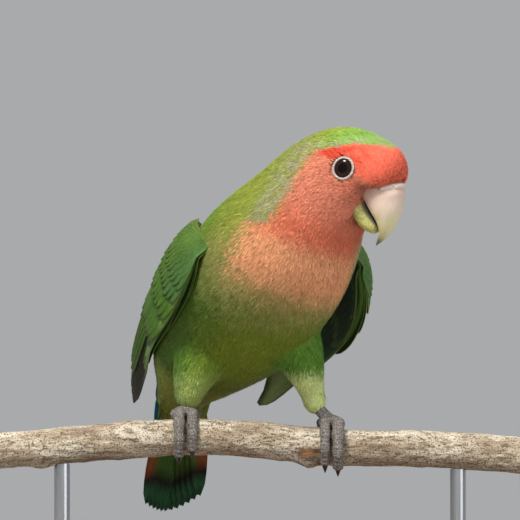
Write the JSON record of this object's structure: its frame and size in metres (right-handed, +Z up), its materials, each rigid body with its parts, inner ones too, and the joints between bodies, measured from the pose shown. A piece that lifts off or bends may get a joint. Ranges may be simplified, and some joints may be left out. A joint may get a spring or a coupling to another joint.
{
  "type": "peach-faced lovebird display model",
  "caption": "Life-size small parrot with a peach face, gripping a cut branch with folded wings a little open, held over a flat base by short rods.",
  "frame": {"origin": "middle of the stand base's underside, on the floor", "axes": "+Z up, -Y the side that the breast faces, +X the bird's left and the way its bill points"},
  "size_m": [0.172, 0.1166, 0.1447],
  "materials": {
    "plumage_green": "matte, dense green body feathers",
    "plumage_peach": "matte, dense peach to red face and bib feathers",
    "flight_feathers": "satin, green to black vanes",
    "bill_horn": "smooth pale horn",
    "cere_skin": "matte bare skin",
    "eye_glass": "wet dark gloss",
    "eye_ring": "matte white skin",
    "foot_skin": "grey granular scales",
    "claw_horn": "smooth dark horn",
    "bark": "pale speckled bark",
    "stand_wood": "satin dark wood",
    "stand_steel": "brushed"
  },
  "bodies": {
    "root": {"torso": "plumage_green", "neck": "plumage_green", "leg_right": "plumage_green", "leg_left": "plumage_green", "head": "plumage_peach", "wing_right": "flight_feathers", "wing_left": "flight_feathers", "tail": "flight_feathers", "bill_upper": "bill_horn", "bill_lower": "bill_horn", "cere": "cere_skin", "eye_right": "eye_glass", "eye_left": "eye_glass", "eyelid_right": "eye_ring", "eyelid_left": "eye_ring", "foot_right": "foot_skin", "foot_left": "foot_skin", "toe_right_1": "foot_skin", "toe_right_2": "foot_skin", "toe_right_3": "foot_skin", "toe_right_4": "foot_skin", "toe_left_1": "foot_skin", "toe_left_2": "foot_skin", "toe_left_3": "foot_skin", "toe_left_4": "foot_skin", "claw_right_1": "claw_horn", "claw_right_2": "claw_horn", "claw_right_3": "claw_horn", "claw_right_4": "claw_horn", "claw_left_1": "claw_horn", "claw_left_2": "claw_horn", "claw_left_3": "claw_horn", "claw_left_4": "claw_horn", "perch_branch": "bark", "stand_base": "stand_wood", "stand_rod_left": "stand_steel", "stand_rod_right": "stand_steel"}
  },
  "joints": []
}
